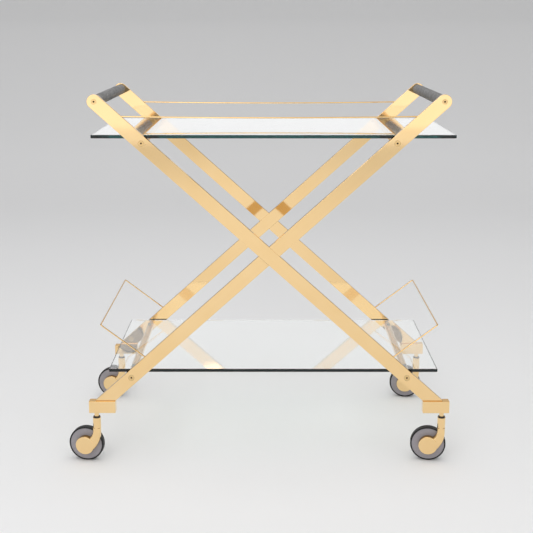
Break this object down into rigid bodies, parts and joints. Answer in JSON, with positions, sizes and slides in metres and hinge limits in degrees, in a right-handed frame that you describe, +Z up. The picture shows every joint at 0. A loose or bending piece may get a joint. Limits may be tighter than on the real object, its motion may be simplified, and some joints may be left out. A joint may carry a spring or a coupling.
{
  "type": "bar cart",
  "caption": "Glass-shelved bar cart on crossed polished brass frames, with wire guard rails, wrapped end handles and one-armed swivel casters with thin-tyred wheels.",
  "frame": {"origin": "on the floor, in the middle of the whole cart with its casters trailing towards -X", "axes": "+X along the length to the right end, +Y from the front to the back, +Z up"},
  "size_m": [0.9277, 0.4624, 0.8965],
  "materials": {
    "polished_brass": "mirror-polished, warm pale gold",
    "screw_brass": "polished, fine turning marks",
    "turned_steel": "turned",
    "clear_glass": "clear float glass with polished, dark green edges",
    "clear_pad": "clear soft silicone",
    "grip_wrap": "dark grey fine-grained wrap, satin",
    "black_washer": "matt black",
    "grey_wheel": "satin mid grey",
    "black_tyre": "smooth black rubber"
  },
  "bodies": {
    "cart_frame": {"front_bar_falling": "polished_brass", "front_bar_rising": "polished_brass", "rear_bar_falling": "polished_brass", "rear_bar_rising": "polished_brass", "cross_tube_upper_left": "polished_brass", "cross_tube_upper_right": "polished_brass", "cross_tube_lower_left": "polished_brass", "cross_tube_lower_right": "polished_brass", "tube_plugs": "turned_steel", "tube_screws": "screw_brass", "handle_screws": "screw_brass", "handle_core_left": "turned_steel", "handle_grip_left": "grip_wrap", "handle_core_right": "turned_steel", "handle_grip_right": "grip_wrap", "shelf_glass_upper": "clear_glass", "shelf_pads_upper": "clear_pad", "shelf_glass_lower": "clear_glass", "shelf_pads_lower": "clear_pad", "guard_wire_front": "polished_brass", "guard_wire_rear": "polished_brass", "guard_bail_left": "polished_brass", "guard_bail_right": "polished_brass", "caster_block_front_left": "polished_brass", "swivel_bush_front_left": "polished_brass", "caster_block_front_right": "polished_brass", "swivel_bush_front_right": "polished_brass", "caster_block_rear_left": "polished_brass", "swivel_bush_rear_left": "polished_brass", "caster_block_rear_right": "polished_brass", "swivel_bush_rear_right": "polished_brass"},
    "caster_front_left": {"caster_fork_front_left": "polished_brass", "thrust_washer_front_left": "black_washer", "caster_axle_front_left": "turned_steel"},
    "wheel_front_left": {"caster_wheel_front_left": "grey_wheel", "caster_tyre_front_left": "black_tyre"},
    "caster_front_right": {"caster_fork_front_right": "polished_brass", "thrust_washer_front_right": "black_washer", "caster_axle_front_right": "turned_steel"},
    "wheel_front_right": {"caster_wheel_front_right": "grey_wheel", "caster_tyre_front_right": "black_tyre"},
    "caster_rear_left": {"caster_fork_rear_left": "polished_brass", "thrust_washer_rear_left": "black_washer", "caster_axle_rear_left": "turned_steel"},
    "wheel_rear_left": {"caster_wheel_rear_left": "grey_wheel", "caster_tyre_rear_left": "black_tyre"},
    "caster_rear_right": {"caster_fork_rear_right": "polished_brass", "thrust_washer_rear_right": "black_washer", "caster_axle_rear_right": "turned_steel"},
    "wheel_rear_right": {"caster_wheel_rear_right": "grey_wheel", "caster_tyre_rear_right": "black_tyre"}
  },
  "joints": [
    {"name": "swivel_front_left", "type": "hinge", "parent": "cart_frame", "child": "caster_front_left", "pos_m": [-0.39349, -0.221, 0.1155], "axis": [0, 0, 1], "continuous": true},
    {"name": "roll_front_left", "type": "hinge", "parent": "caster_front_left", "child": "wheel_front_left", "pos_m": [-0.42217, -0.20586, 0.043], "axis": [0.1392, 0.9903, 0], "continuous": true},
    {"name": "swivel_front_right", "type": "hinge", "parent": "cart_frame", "child": "caster_front_right", "pos_m": [0.44549, -0.221, 0.1155], "axis": [0, 0, 1], "continuous": true},
    {"name": "roll_front_right", "type": "hinge", "parent": "caster_front_right", "child": "wheel_front_right", "pos_m": [0.41682, -0.20586, 0.043], "axis": [0.1392, 0.9903, 0], "continuous": true},
    {"name": "swivel_rear_left", "type": "hinge", "parent": "cart_frame", "child": "caster_rear_left", "pos_m": [-0.39349, 0.203, 0.1155], "axis": [0, 0, 1], "continuous": true},
    {"name": "roll_rear_left", "type": "hinge", "parent": "caster_rear_left", "child": "wheel_rear_left", "pos_m": [-0.42217, 0.21814, 0.043], "axis": [0.1392, 0.9903, 0], "continuous": true},
    {"name": "swivel_rear_right", "type": "hinge", "parent": "cart_frame", "child": "caster_rear_right", "pos_m": [0.44549, 0.203, 0.1155], "axis": [0, 0, 1], "continuous": true},
    {"name": "roll_rear_right", "type": "hinge", "parent": "caster_rear_right", "child": "wheel_rear_right", "pos_m": [0.41682, 0.21814, 0.043], "axis": [0.1392, 0.9903, 0], "continuous": true}
  ]
}
